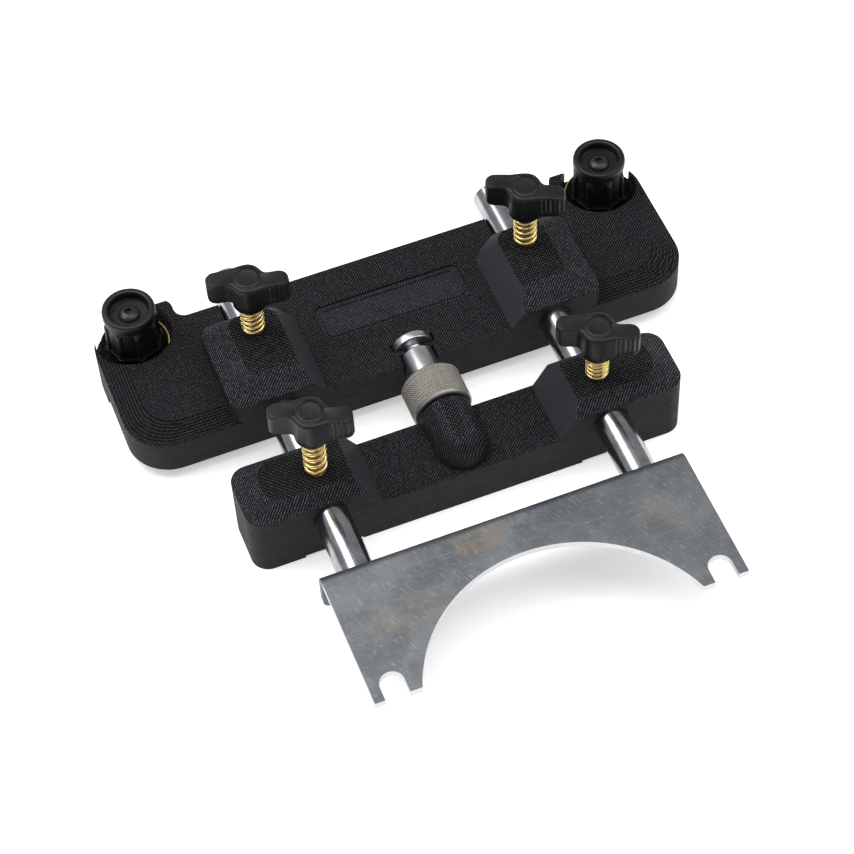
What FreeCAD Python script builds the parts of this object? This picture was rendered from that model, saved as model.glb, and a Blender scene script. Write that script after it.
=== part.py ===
"""Guide-rail carriage for a hand router: a rail shoe, a clamp block on two rods and a bracket for the router.

Millimetres, +Z up.  X runs along the guide rail, Y runs along the two rods from the router (-Y) to the rail (+Y).
The origin is the middle of the rear sole strip, on the face that the carriage stands on.
"""
import FreeCAD, Part
import math
import os

V = FreeCAD.Vector
AXIS_Y = V(0, 1, 0)
AXIS_Z = V(0, 0, 1)
SIDES = {"left": -1, "right": 1}

overrun = 1.0                  # how far a cutting tool runs past a face
sharp_corner = 0.5             # corner radius where two printed pieces join

# guide rods
rod_spacing = 97.5
rod_diameter = 12.0
rod_height = 18.0              # axis above the sole
rod_rear_reach = 16.5          # rear end behind the sole strip's middle
rod_chamfer = 0.6
running_clearance = 0.10       # radial, every sliding or turning fit

# rail shoe
shoe_length = 199.0
shoe_depth = 49.0
shoe_top = 20.0
shoe_corner = 15.0
lug_corner = 13.0
sole_strip_depth = 10.0        # rear strip that guides behind the rail's rib
rib_depth = 5.0                # how far the underside is relieved over the rib
rib_width = 16.5
front_strip_depth = 16.0
front_strip_inset = 7.0        # from the shoe's ends
border_width = 8.0             # terraced border of the wings
border_rear_width = 1.0
border_drop = 2.0
print_layer = 0.25             # height of one terrace
lug_length = 30.0              # along X, from the shoe's end
lug_reach = 9.7                # rear lugs behind the shoe's rear edge
lug_fillet = 4.0
lug_inner_corner = 4.0

# bosses over the rods on the shoe
shoe_boss_inside = 17.25       # inner edge from the rod's axis
shoe_boss_outside = 16.75      # outer edge from the rod's axis
shoe_boss_overlap = 6.0        # how far the wing runs in under the boss
shoe_boss_length = 36.5        # from the front face
shoe_boss_wall_top = 26.2
shoe_boss_top = 30.3
shoe_boss_ramp = 8.2           # run of the inner ramp
shoe_boss_slope = 9.0          # run of the front and outer slopes
shoe_boss_rear_slope = 3.0
shoe_boss_corners = [sharp_corner, 3.0, 4.0, 5.0]

# recessed panel, left blank
panel_length = 52.0
panel_width = 15.0
panel_depth = 0.8
panel_corner = 2.5
panel_set_in = 27.2            # its middle from the shoe's front face

# clamp block
block_gap = 21.3               # between the block and the shoe
block_length = 151.0
block_depth = 24.6
block_floor = 16.4             # top of the middle part
block_corner = 6.0
block_boss_inside = 18.45      # inner edge from the rod's axis
block_boss_sink = 1.0          # how far its foot is sunk in the middle part
block_boss_wall_top = 24.9
block_boss_top = 29.0
block_boss_ramp = 8.4
block_boss_slope_front = 4.8
block_boss_slope_rear = 4.0
block_boss_slope_outer = 7.8
block_relief = 1.0             # channel in the underside below each rod
block_relief_width = 20.0

# fine adjuster between the shoe and the block
spindle_height = 17.0
spindle_disc_radius = 7.3
spindle_disc_thickness = 2.8
spindle_neck_radius = 3.2
spindle_neck_length = 2.6
spindle_barrel_radius = 5.8
spindle_thread_radius = 3.0
spindle_thread_reach = 18.7    # length of the thread inside the block
spindle_thread_run_out = 2.6   # empty bore past its end
disc_setback = 6.9             # shoe's front face to the front of the disc
wheel_radius = 10.3
wheel_width = 13.0
wheel_gap = 1.0                # between the wheel and the block
wheel_chamfer = 0.8
wheel_recess_radius = 8.2
wheel_recess_depth = 1.4
slot_clearance = 0.3           # round the spindle in the shoe's slot
nose_radius = 9.0             # rounded housing of the thread on the block
nose_length = 23.5
thread_nut_radius = 4.5
thread_nut_length = 11.0

# router bracket
bracket_beyond_rods = 13.05    # each end from the rod's axis
bracket_depth = 50.0
bracket_sheet = 2.5
bracket_height = 16.0
bracket_bend_radius = 3.6      # outside of the bend
bracket_above_rods = 10.0      # top face above the rods' axis
bracket_to_block = 25.2
cutout_radius = 49.2
cutout_setout = 16.1           # its centre in front of the front edge
notch_spacing = 108.8
notch_width = 8.0
notch_centre_depth = 4.9
flange_corner = 3.0
end_screw_radius = 2.5
end_screw_length = 14.0
end_screw_head_radius = 4.6
end_screw_crown_radius = 2.5
end_screw_head_height = 2.7
end_screw_hole_clearance = 0.25
end_screw_socket = 3.0         # across flats
end_screw_socket_floor = 0.95  # left under the socket

# wing clamps
stud_radius = 2.5
stud_grip = 10.0               # length moulded into the knob
tip_radius = 1.9
tip_length = 3.0
tip_point = 0.6
insert_wall = 1.0
clamp_insert_length = 3.8
wing_height = 14.4
wing_reach = 13.4
wing_thickness = 6.4
wing_sweep = 2.4               # each wing stands off the middle line
wing_corner = 2.8
wing_hub_radius = 5.8
wing_stem_height = 5.0         # below the wings
wing_stem_taper = 2.2
wing_stem_radius = 4.4
wing_cap_radius = 4.3
wing_cap_height = 0.6
spring_clearance = 0.25        # round the stud
spring_wire = 1.25
spring_turns = 4.5
spring_end_gap = 0.05
spring_clamped_length = 10.4
shoe_clamp_set_in = 26.8       # from the shoe's front face
wing_lift = {"shoe_left": 1.6, "shoe_right": 2.8, "block_left": 5.6, "block_right": 0.0}
wing_yaw = {"shoe_left": -8.0, "shoe_right": -24.0, "block_left": -14.0, "block_right": -20.0}

# play adjusters in the rear lugs
play_end_distance = 14.2       # axis from the shoe's end
play_y = 4.5
pocket_radius = 13.2
pocket_floor = 13.6
play_washer_radius = 11.8
play_washer_thickness = 1.2
play_knob_radius = 9.0         # at the rim
play_knob_base_radius = 9.5
play_knob_height = 18.5
play_knob_clearance = 0.3      # over the washer
play_knob_skirt = 1.6
play_knob_skirt_chamfer = 0.8
play_knob_waist = 0.3          # the fluted part under the rim is this much smaller
play_knob_rim = 3.5            # height of the smooth rim
play_knob_ribs = 8
play_knob_rib_radius = 1.1
play_knob_rib_set_in = 0.5
play_knob_rib_drop = 5.0       # rib tops below the rim
play_knob_recess_radius = 6.8
play_knob_recess_depth = 3.4
play_journal_radius = 5.0
play_drive_width = 8.0         # hexagon between the knob and the cam
play_drive_height = 6.0
play_cam_throw = 1.0
play_cam_thickness = 4.0
play_cam_lift = 0.6            # above the sole
play_screw_radius = 2.0
play_screw_head_radius = 3.8
play_screw_head_height = 2.2
play_screw_socket = 2.5        # across flats
play_screw_socket_floor = 0.66
play_nut_width = 7.0
play_nut_thickness = 3.2
cam_pocket_clearance = 0.5

# places that follow from the sizes above
shoe_rear_y = sole_strip_depth / 2
shoe_front_y = shoe_rear_y - shoe_depth
lug_rear_y = shoe_rear_y + lug_reach
block_rear_y = shoe_front_y - block_gap
block_front_y = block_rear_y - block_depth
block_clamp_y = (block_front_y + block_rear_y) / 2
bracket_rear_y = block_front_y - bracket_to_block
bracket_front_y = bracket_rear_y - bracket_depth
bracket_top = rod_height + bracket_above_rods
rod_radius = rod_diameter / 2
rod_x = rod_spacing / 2
shoe_boss_inner_x = rod_x - shoe_boss_inside
shoe_boss_outer_x = rod_x + shoe_boss_outside
block_boss_inner_x = rod_x - block_boss_inside
bracket_width = rod_spacing + 2 * bracket_beyond_rods
lug_inner_x = shoe_length / 2 - lug_length
play_x = shoe_length / 2 - play_end_distance
panel_centre_y = shoe_front_y + panel_set_in
shoe_clamp_y = shoe_front_y + shoe_clamp_set_in
clamp_insert_radius = stud_radius + insert_wall
spring_radius = stud_radius + spring_clearance + spring_wire    # outside
play_cam_radius = play_y + sole_strip_depth / 2     # level with the strip's front face
rod_bore_radius = rod_radius + running_clearance
wheel_front_y = block_rear_y + wheel_gap
wheel_rear_y = wheel_front_y + wheel_width
disc_front_y = shoe_front_y + disc_setback
disc_rear_y = disc_front_y + spindle_disc_thickness
barrel_rear_y = disc_front_y - spindle_neck_length
clamp_places = {
    "shoe_left": (-rod_x, shoe_clamp_y, shoe_boss_top),
    "shoe_right": (rod_x, shoe_clamp_y, shoe_boss_top),
    "block_left": (-rod_x, block_clamp_y, block_boss_top),
    "block_right": (rod_x, block_clamp_y, block_boss_top),
}


def box(x_low, x_high, y_low, y_high, z_low, z_high):
    return Part.makeBox(x_high - x_low, y_high - y_low, z_high - z_low, V(x_low, y_low, z_low))


def upright(radius, x, y, z_low, z_high):
    return Part.makeCylinder(radius, z_high - z_low, V(x, y, z_low), AXIS_Z)


def along_y(radius, x, z, y_low, y_high):
    return Part.makeCylinder(radius, y_high - y_low, V(x, y_low, z), AXIS_Y)


def cone(radius_low, radius_high, x, y, z_low, z_high):
    return Part.makeCone(radius_low, radius_high, z_high - z_low, V(x, y, z_low), AXIS_Z)


def prism(across_flats, x, y, z_low, z_high):
    """Six-sided bar along Z."""
    reach = across_flats / 2 / math.cos(math.pi / 6)
    turns = [math.pi / 3 * i for i in range(7)]
    corners = [V(x + reach * math.cos(a), y + reach * math.sin(a), z_low) for a in turns]
    return Part.Face(Part.makePolygon(corners)).extrude(V(0, 0, z_high - z_low))


def rounded_wire(x_low, x_high, y_low, y_high, z, radii):
    """Rectangle with its own radius at each corner: front low, front high, rear high, rear low."""
    centres = [
        (x_low + radii[0], y_low + radii[0], 180),
        (x_high - radii[1], y_low + radii[1], 270),
        (x_high - radii[2], y_high - radii[2], 0),
        (x_low + radii[3], y_high - radii[3], 90),
    ]
    arcs = []
    for (x, y, start), radius in zip(centres, radii):
        points = []
        for angle in (start, start + 45, start + 90):
            turn = math.radians(angle)
            points.append(V(x + radius * math.cos(turn), y + radius * math.sin(turn), z))
        arcs.append(points)
    edges = []
    for i, points in enumerate(arcs):
        edges.append(Part.Arc(*points).toShape())
        edges.append(Part.LineSegment(points[2], arcs[(i + 1) % 4][0]).toShape())
    return Part.Wire(edges)


def rounded_box(x_low, x_high, y_low, y_high, z_low, z_high, radii):
    face = Part.Face(rounded_wire(x_low, x_high, y_low, y_high, z_low, radii))
    return face.extrude(V(0, 0, z_high - z_low))


def tapered(low, z_low, high, z_high):
    """Solid between two rounded rectangles, each given as (x_low, x_high, y_low, y_high, radii)."""
    wires = [rounded_wire(*low[:4], z_low, low[4]), rounded_wire(*high[:4], z_high, high[4])]
    return Part.makeLoft(wires, True, True)


def terraced(low, z_low, high, z_high):
    """The same taper as it is printed: level layers, each a little smaller than the one below."""
    count = round((z_high - z_low) / print_layer)
    layers = []
    for i in range(1, count + 1):
        share = i / count
        sides = [a + (b - a) * share for a, b in zip(low[:4], high[:4])]
        radii = [a + (b - a) * share for a, b in zip(low[4], high[4])]
        layers.append(rounded_box(*sides, z_low - print_layer, z_low + (z_high - z_low) * share, radii))
    return layers


def mirrored(shape):
    return shape.mirror(V(0, 0, 0), V(1, 0, 0))


def on_side(shape, side):
    """Shapes are drawn for the right side."""
    return shape if side > 0 else mirrored(shape)


def joined(shapes):
    return shapes[0].fuse(shapes[1:]).removeSplitter()


def without(shape, tools):
    return shape.cut(tools)


def rod_boss(inner_x, outer_x, front_y, rear_y, heights, ramp, slopes, radii):
    """Raised housing over the right rod: upright walls, then slopes up to a flat top, and a ramp inside."""
    foot_z, wall_z, top_z = heights
    front_slope, rear_slope, outer_slope = slopes
    wall_x = inner_x + ramp * (wall_z - foot_z) / (top_z - foot_z)
    foot = (inner_x, outer_x, front_y, rear_y, radii)
    wall = (wall_x, outer_x, front_y, rear_y, radii)
    top = (inner_x + ramp, outer_x - outer_slope, front_y + front_slope, rear_y - rear_slope, radii)
    return [tapered(foot, foot_z, wall, wall_z), tapered(wall, wall_z, top, top_z)]


def spindle_slot():
    """Open-topped slot that drops over the spindle's disc, neck and barrel."""
    steps = [
        (spindle_barrel_radius, shoe_front_y - overrun, barrel_rear_y + slot_clearance),
        (spindle_neck_radius, barrel_rear_y, disc_front_y),
        (spindle_disc_radius, disc_front_y - slot_clearance, disc_rear_y + slot_clearance),
    ]
    tools = []
    for radius, y_low, y_high in steps:
        wide = radius + slot_clearance
        tools.append(along_y(wide, 0, spindle_height, y_low, y_high))
        tools.append(box(-wide, wide, y_low, y_high, spindle_height, shoe_top + overrun))
    return tools


def clamp_bores(place):
    x, y, top = place
    return [
        upright(clamp_insert_radius, x, y, top - clamp_insert_length, top + overrun),
        upright(stud_radius + 2 * running_clearance, x, y, rod_height, top),
    ]


def rail_shoe():
    half = shoe_length / 2
    plate_corners = [shoe_corner, shoe_corner, lug_corner, lug_corner]
    slope_z = shoe_top - border_drop
    wing_inner_x = shoe_boss_outer_x - shoe_boss_overlap
    boss_rear_y = shoe_front_y + shoe_boss_length
    plate = rounded_box(-half, half, shoe_front_y, lug_rear_y, rib_depth, slope_z, plate_corners)
    rear_strip = rounded_box(-half, half, shoe_front_y, lug_rear_y, 0, rib_depth, plate_corners)
    rear_strip = rear_strip.common(box(-half, half, -sole_strip_depth / 2, lug_rear_y, 0, rib_depth))
    rib_front_y = -sole_strip_depth / 2 - rib_width
    strip_x = half - front_strip_inset
    front_strip = box(-strip_x, strip_x, rib_front_y - front_strip_depth, rib_front_y, 0, rib_depth)
    middle = box(-wing_inner_x, wing_inner_x, shoe_front_y, shoe_rear_y, slope_z, shoe_top)
    solids = [plate, rear_strip, front_strip, middle]
    corners = [sharp_corner, shoe_corner, lug_corner, sharp_corner]
    inner_corners = [
        sharp_corner, shoe_corner - border_width / 2, lug_corner - border_width / 4, sharp_corner]
    low = (wing_inner_x, half, shoe_front_y, lug_rear_y, corners)
    high = (
        wing_inner_x, half - border_width, shoe_front_y + border_width, lug_rear_y - border_rear_width,
        inner_corners)
    boss = rod_boss(
        shoe_boss_inner_x, shoe_boss_outer_x, shoe_front_y, boss_rear_y,
        (slope_z, shoe_boss_wall_top, shoe_boss_top), shoe_boss_ramp,
        (shoe_boss_slope, shoe_boss_rear_slope, shoe_boss_slope), shoe_boss_corners,
    )
    for side in SIDES.values():
        solids += [on_side(layer, side) for layer in terraced(low, slope_z, high, shoe_top)]
        solids += [on_side(piece, side) for piece in boss]
    body = joined(solids)
    tools = [rounded_box(
        -lug_inner_x, lug_inner_x, shoe_rear_y, lug_rear_y + shoe_depth, -overrun, shoe_boss_top,
        [lug_fillet] * 4)]
    rear = shoe_rear_y + overrun
    for side in SIDES.values():
        x = side * rod_x
        tools.append(along_y(rod_bore_radius, x, rod_height, shoe_front_y - overrun, rear))
        tools.append(box(
            x - rod_bore_radius, x + rod_bore_radius, boss_rear_y, rear, rod_height, shoe_top + overrun))
        rounding = lug_inner_corner
        corner_x, corner_y = lug_inner_x + rounding, lug_rear_y - rounding
        corner = box(
            lug_inner_x - overrun, corner_x, corner_y, lug_rear_y + overrun, -overrun, shoe_top + overrun)
        round_end = upright(rounding, corner_x, corner_y, -overrun, shoe_top + overrun)
        tools.append(on_side(corner.cut(round_end), side))
        x = side * play_x
        cam_room = play_cam_radius + play_cam_throw + cam_pocket_clearance
        cam_room_top = play_cam_lift + play_cam_thickness + cam_pocket_clearance
        tools.append(upright(pocket_radius, x, play_y, pocket_floor, shoe_top + overrun))
        tools.append(upright(play_journal_radius + running_clearance, x, play_y, 0, shoe_top))
        tools.append(upright(cam_room, x, play_y, -overrun, cam_room_top))
    tools += spindle_slot()
    tools += clamp_bores(clamp_places["shoe_left"]) + clamp_bores(clamp_places["shoe_right"])
    tools.append(rounded_box(
        -panel_length / 2, panel_length / 2, panel_centre_y - panel_width / 2, panel_centre_y + panel_width / 2,
        shoe_top - panel_depth, shoe_top + overrun, [panel_corner] * 4))
    return without(body, tools)


def clamp_block():
    half = block_length / 2
    front, rear = block_front_y - overrun, block_rear_y + overrun
    solids = [rounded_box(-half, half, block_front_y, block_rear_y, 0, block_floor, [block_corner] * 4)]
    boss = rod_boss(
        block_boss_inner_x, half, block_front_y, block_rear_y,
        (block_floor - block_boss_sink, block_boss_wall_top, block_boss_top), block_boss_ramp,
        (block_boss_slope_front, block_boss_slope_rear, block_boss_slope_outer),
        [sharp_corner, block_corner, block_corner, sharp_corner],
    )
    for side in SIDES.values():
        solids += [on_side(piece, side) for piece in boss]
    nose_round_y = block_rear_y - (nose_length - nose_radius)
    solids.append(along_y(nose_radius, 0, spindle_height, nose_round_y, block_rear_y))
    solids.append(Part.makeSphere(nose_radius, V(0, nose_round_y, spindle_height)))
    body = joined(solids)
    tools = []
    for side in SIDES.values():
        x = side * rod_x
        half_relief = block_relief_width / 2
        tools.append(along_y(rod_bore_radius, x, rod_height, front, rear))
        tools.append(box(x - half_relief, x + half_relief, front, rear, -overrun, block_relief))
    tools += clamp_bores(clamp_places["block_left"]) + clamp_bores(clamp_places["block_right"])
    thread_end_y = block_rear_y - spindle_thread_reach - spindle_thread_run_out
    thread_room = spindle_thread_radius + slot_clearance
    tools.append(along_y(thread_room, 0, spindle_height, thread_end_y, rear))
    tools.append(along_y(thread_nut_radius, 0, spindle_height, block_rear_y - thread_nut_length, rear))
    return without(body, tools)


def guide_rod(side):
    x = side * rod_x
    end_y = rod_rear_reach - rod_chamfer
    bar = along_y(rod_radius, x, rod_height, bracket_rear_y, end_y)
    end = Part.makeCone(rod_radius, rod_radius - rod_chamfer, rod_chamfer, V(x, end_y, rod_height), AXIS_Y)
    thread_y = bracket_rear_y - overrun
    thread = along_y(end_screw_radius, x, rod_height, thread_y, bracket_rear_y + end_screw_length)
    return without(joined([bar, end]), [thread])


def router_bracket():
    half = bracket_width / 2
    bottom = bracket_top - bracket_height
    outer = bracket_bend_radius
    inner = outer - bracket_sheet
    plate = box(-half, half, bracket_front_y, bracket_rear_y - outer, bracket_top - bracket_sheet, bracket_top)
    flange = box(-half, half, bracket_rear_y - bracket_sheet, bracket_rear_y, bottom, bracket_top - outer)
    bend_y, bend_z = bracket_rear_y - outer, bracket_top - outer
    bend = Part.makeCylinder(outer, bracket_width, V(-half, bend_y, bend_z), V(1, 0, 0))
    bend = bend.cut(Part.makeCylinder(inner, bracket_width, V(-half, bend_y, bend_z), V(1, 0, 0)))
    bend = bend.common(box(-half, half, bend_y, bracket_rear_y, bend_z, bracket_top))
    body = joined([plate, flange, bend])
    low, high = bracket_top - bracket_sheet - overrun, bracket_top + overrun
    front, rear = bracket_rear_y - bracket_sheet - overrun, bracket_rear_y + overrun
    tools = [upright(cutout_radius, 0, bracket_front_y - cutout_setout, low, high)]
    notch_y = bracket_front_y + notch_centre_depth
    radius = notch_width / 2
    corner_top = bottom + flange_corner
    keep = box(-half + flange_corner, half - flange_corner, front, rear, bottom - overrun, corner_top)
    for side in SIDES.values():
        x = side * notch_spacing / 2
        tools.append(upright(radius, x, notch_y, low, high))
        tools.append(box(x - radius, x + radius, bracket_front_y - overrun, notch_y, low, high))
        hole_radius = end_screw_radius + end_screw_hole_clearance
        tools.append(along_y(hole_radius, side * rod_x, rod_height, front, rear))
        corner = box(
            side * half - flange_corner, side * half + flange_corner, front, rear, bottom - overrun, corner_top)
        round_end = along_y(flange_corner, side * (half - flange_corner), corner_top, front, rear)
        tools.append(corner.cut([round_end, keep]))
    return without(body, tools)


def rod_end_screws():
    screws = []
    head_rear_y = bracket_rear_y - bracket_sheet
    socket_rear_y = head_rear_y - end_screw_socket_floor
    for side in SIDES.values():
        x = side * rod_x
        shank = along_y(end_screw_radius, x, rod_height, head_rear_y, bracket_rear_y + end_screw_length)
        head = Part.makeCone(
            end_screw_head_radius, end_screw_crown_radius, end_screw_head_height,
            V(x, head_rear_y, rod_height), V(0, -1, 0))
        socket = prism(end_screw_socket, 0, 0, 0, end_screw_head_height)
        socket.rotate(V(0, 0, 0), V(1, 0, 0), 90)
        socket.translate(V(x, socket_rear_y, rod_height))
        screws.append(without(joined([shank, head]), [socket]))
    return Part.makeCompound(screws)


def adjuster_spindle():
    pieces = [
        along_y(spindle_disc_radius, 0, spindle_height, disc_front_y, disc_rear_y),
        along_y(spindle_neck_radius, 0, spindle_height, barrel_rear_y, disc_front_y),
        along_y(spindle_barrel_radius, 0, spindle_height, wheel_front_y + wheel_recess_depth, barrel_rear_y),
        along_y(
            spindle_thread_radius, 0, spindle_height, block_rear_y - spindle_thread_reach,
            wheel_front_y + wheel_recess_depth),
    ]
    return joined(pieces)


def adjuster_wheel():
    chamfer = wheel_chamfer
    ring = along_y(wheel_radius, 0, spindle_height, wheel_front_y + chamfer, wheel_rear_y - chamfer)
    front = Part.makeCone(
        wheel_radius - chamfer, wheel_radius, chamfer, V(0, wheel_front_y, spindle_height), AXIS_Y)
    rear = Part.makeCone(
        wheel_radius, wheel_radius - chamfer, chamfer, V(0, wheel_rear_y - chamfer, spindle_height), AXIS_Y)
    recess_rear_y = wheel_front_y + wheel_recess_depth
    recess = along_y(wheel_recess_radius, 0, spindle_height, wheel_front_y - overrun, recess_rear_y)
    bore = along_y(spindle_barrel_radius, 0, spindle_height, wheel_front_y, wheel_rear_y + overrun)
    return without(joined([ring, front, rear]), [recess, bore])


def adjuster_nut():
    front_y = block_rear_y - thread_nut_length
    ring = along_y(thread_nut_radius, 0, spindle_height, front_y, block_rear_y)
    bore_radius = spindle_thread_radius + running_clearance
    bore = along_y(bore_radius, 0, spindle_height, front_y - overrun, block_rear_y + overrun)
    return without(ring, [bore])


def knob_foot(name):
    """Height of the underside of a wing knob."""
    return clamp_places[name][2] + spring_clamped_length + wing_lift[name]


def wing_knob(name):
    x, y, _ = clamp_places[name]
    foot = knob_foot(name)
    wing_low, wing_high = foot + wing_stem_height, foot + wing_height - wing_cap_height
    hub_low = foot + wing_stem_taper
    half = wing_thickness / 2
    corners = [wing_corner] * 4
    sweep = wing_sweep
    solids = [
        cone(wing_stem_radius, wing_hub_radius, 0, 0, foot, hub_low),
        upright(wing_hub_radius, 0, 0, hub_low, wing_high),
        upright(wing_cap_radius, 0, 0, wing_high, foot + wing_height),
        rounded_box(-wing_reach, half, sweep - half, sweep + half, wing_low, wing_high, corners),
        rounded_box(-half, wing_reach, -sweep - half, -sweep + half, wing_low, wing_high, corners),
    ]
    body = without(joined(solids), [upright(stud_radius, 0, 0, foot - overrun, foot + stud_grip)])
    body.rotate(V(0, 0, 0), AXIS_Z, wing_yaw[name])
    body.translate(V(x, y, 0))
    return body


def clamp_tip(name):
    x, y, _ = clamp_places[name]
    low = rod_height + rod_radius + wing_lift[name]
    return joined([
        cone(tip_radius - tip_point, tip_radius, x, y, low, low + tip_point),
        upright(tip_radius, x, y, low + tip_point, low + tip_length),
    ])


def clamp_stud(name):
    x, y, _ = clamp_places[name]
    low = rod_height + rod_radius + wing_lift[name] + tip_length
    return upright(stud_radius, x, y, low, knob_foot(name) + stud_grip)


def clamp_insert(name):
    x, y, top = clamp_places[name]
    ring = upright(clamp_insert_radius, x, y, top - clamp_insert_length, top)
    return without(ring, [upright(stud_radius + running_clearance, x, y, 0, top + overrun)])


def clamp_spring(name):
    """Open coil between the boss and the knob."""
    x, y, top = clamp_places[name]
    wire = spring_wire / 2
    height = knob_foot(name) - top - spring_wire - 2 * spring_end_gap
    helix = Part.makeHelix(height / spring_turns, height, spring_radius - wire)
    start = V(spring_radius - wire, 0, 0)
    section = Part.Wire(Part.Circle(start, V(0, 1, 0), wire).toShape())
    coil = Part.Wire(helix.Edges).makePipeShell([section], True, True)
    coil.translate(V(x, y, top + wire + spring_end_gap))
    return coil


def play_foot():
    return pocket_floor + play_washer_thickness + play_knob_clearance


def play_knob(side):
    x, y = side * play_x, play_y
    foot = play_foot()
    rim = foot + play_knob_height
    chamfer_top = foot + play_knob_skirt_chamfer
    skirt_top = foot + play_knob_skirt
    rim_low = rim - play_knob_rim
    base = play_knob_base_radius
    waist = play_knob_radius - play_knob_waist
    body = [
        cone(base - play_knob_skirt_chamfer, base, x, y, foot, chamfer_top),
        upright(base, x, y, chamfer_top, skirt_top),
        cone(base - 2 * play_knob_waist, waist, x, y, skirt_top, rim_low),
        upright(play_knob_radius, x, y, rim_low, rim),
    ]
    reach = play_knob_radius - play_knob_rib_set_in
    for i in range(play_knob_ribs):
        turn = 2 * math.pi * (i + 0.5) / play_knob_ribs
        rib_x, rib_y = x + reach * math.cos(turn), y + reach * math.sin(turn)
        body.append(upright(play_knob_rib_radius, rib_x, rib_y, skirt_top, rim - play_knob_rib_drop))
    tools = [
        upright(play_knob_recess_radius, x, y, rim - play_knob_recess_depth, rim + overrun),
        upright(play_screw_radius, x, y, foot - overrun, rim),
        prism(play_drive_width, x, y, foot - overrun, foot + play_drive_height),
    ]
    return without(joined(body), tools)


def play_cam(side):
    """Eccentric disc under the lug, its journal, and the hexagon that the knob turns it by."""
    x, y = side * play_x, play_y
    low = play_cam_lift
    high = low + play_cam_thickness
    drive_top = play_foot() + play_drive_height
    disc = upright(play_cam_radius, x + side * play_cam_throw, y, low, high)
    journal = upright(play_journal_radius, x, y, high, play_foot())
    drive = prism(play_drive_width, x, y, play_foot(), drive_top)
    tools = [
        upright(play_screw_radius, x, y, low - overrun, drive_top + overrun),
        prism(play_nut_width, x, y, low - overrun, low + play_nut_thickness),
    ]
    return without(joined([disc, journal, drive]), tools)


def play_screw(side):
    x, y = side * play_x, play_y
    seat = play_foot() + play_knob_height - play_knob_recess_depth
    crown = seat + play_screw_head_height
    shank = upright(play_screw_radius, x, y, play_cam_lift, seat)
    dome_radius = (play_screw_head_radius ** 2 + play_screw_head_height ** 2) / (2 * play_screw_head_height)
    dome = Part.makeSphere(dome_radius, V(x, y, crown - dome_radius))
    dome = dome.common(upright(play_screw_head_radius, x, y, seat, crown))
    socket = prism(play_screw_socket, x, y, seat + play_screw_socket_floor, crown + overrun)
    return without(joined([shank, dome]), [socket])


def play_nut(side):
    x, y = side * play_x, play_y
    nut = prism(play_nut_width, x, y, play_cam_lift, play_cam_lift + play_nut_thickness)
    return without(nut, [upright(play_screw_radius, x, y, -overrun, shoe_top)])


def play_washer(side):
    x, y = side * play_x, play_y
    ring = upright(play_washer_radius, x, y, pocket_floor, pocket_floor + play_washer_thickness)
    return without(ring, [upright(play_journal_radius + slot_clearance, x, y, 0, shoe_top)])


def all_nodes():
    nodes = {
        "rail_shoe": rail_shoe(),
        "clamp_block": clamp_block(),
        "router_bracket": router_bracket(),
        "rod_end_screws": rod_end_screws(),
        "adjuster_spindle": adjuster_spindle(),
        "adjuster_wheel": adjuster_wheel(),
        "adjuster_nut": adjuster_nut(),
    }
    for name, side in SIDES.items():
        nodes["guide_rod_" + name] = guide_rod(side)
        nodes["play_knob_" + name] = play_knob(side)
        nodes["play_cam_" + name] = play_cam(side)
        nodes["play_screw_" + name] = play_screw(side)
        nodes["play_nut_" + name] = play_nut(side)
        nodes["play_washer_" + name] = play_washer(side)
    for name in clamp_places:
        nodes["wing_knob_" + name] = wing_knob(name)
        nodes["clamp_stud_" + name] = clamp_stud(name)
        nodes["clamp_tip_" + name] = clamp_tip(name)
        nodes["clamp_insert_" + name] = clamp_insert(name)
        nodes["clamp_spring_" + name] = clamp_spring(name)
    return nodes


os.makedirs("parts", exist_ok=True)
for node, shape in all_nodes().items():
    shape.exportStep("parts/" + node + ".step")
    print(node, "solids", len(shape.Solids), "valid", shape.isValid(), "volume", round(shape.Volume, 1))
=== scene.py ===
import bpy
import math
from mathutils import Matrix, Vector


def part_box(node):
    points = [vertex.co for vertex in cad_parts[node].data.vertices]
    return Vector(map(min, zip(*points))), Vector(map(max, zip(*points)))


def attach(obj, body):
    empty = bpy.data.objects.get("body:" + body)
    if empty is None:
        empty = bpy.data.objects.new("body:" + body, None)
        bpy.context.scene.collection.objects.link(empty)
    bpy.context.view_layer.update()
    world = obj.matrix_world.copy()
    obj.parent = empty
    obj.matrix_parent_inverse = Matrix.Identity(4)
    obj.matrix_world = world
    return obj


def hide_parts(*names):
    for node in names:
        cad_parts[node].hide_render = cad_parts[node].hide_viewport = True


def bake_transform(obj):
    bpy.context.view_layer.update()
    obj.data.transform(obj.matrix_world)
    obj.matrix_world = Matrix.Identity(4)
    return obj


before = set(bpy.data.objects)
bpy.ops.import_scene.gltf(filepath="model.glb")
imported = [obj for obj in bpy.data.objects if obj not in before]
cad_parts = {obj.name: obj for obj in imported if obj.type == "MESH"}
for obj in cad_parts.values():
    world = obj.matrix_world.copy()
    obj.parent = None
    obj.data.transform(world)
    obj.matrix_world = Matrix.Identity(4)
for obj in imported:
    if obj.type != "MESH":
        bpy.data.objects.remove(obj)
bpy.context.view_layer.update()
print("frame loaded:", len(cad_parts), "nodes")

mm = 0.001
places = ["shoe_left", "shoe_right", "block_left", "block_right"]
sides = {"left": -1, "right": 1}


def nodeBox(node):  # lowest and highest corners in millimetres
    low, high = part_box(node)
    return low / mm, high / mm


def nodeMiddle(node):
    low, high = nodeBox(node)
    return (low + high) / 2


shoeLow, shoeHigh = nodeBox("rail_shoe")


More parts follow.
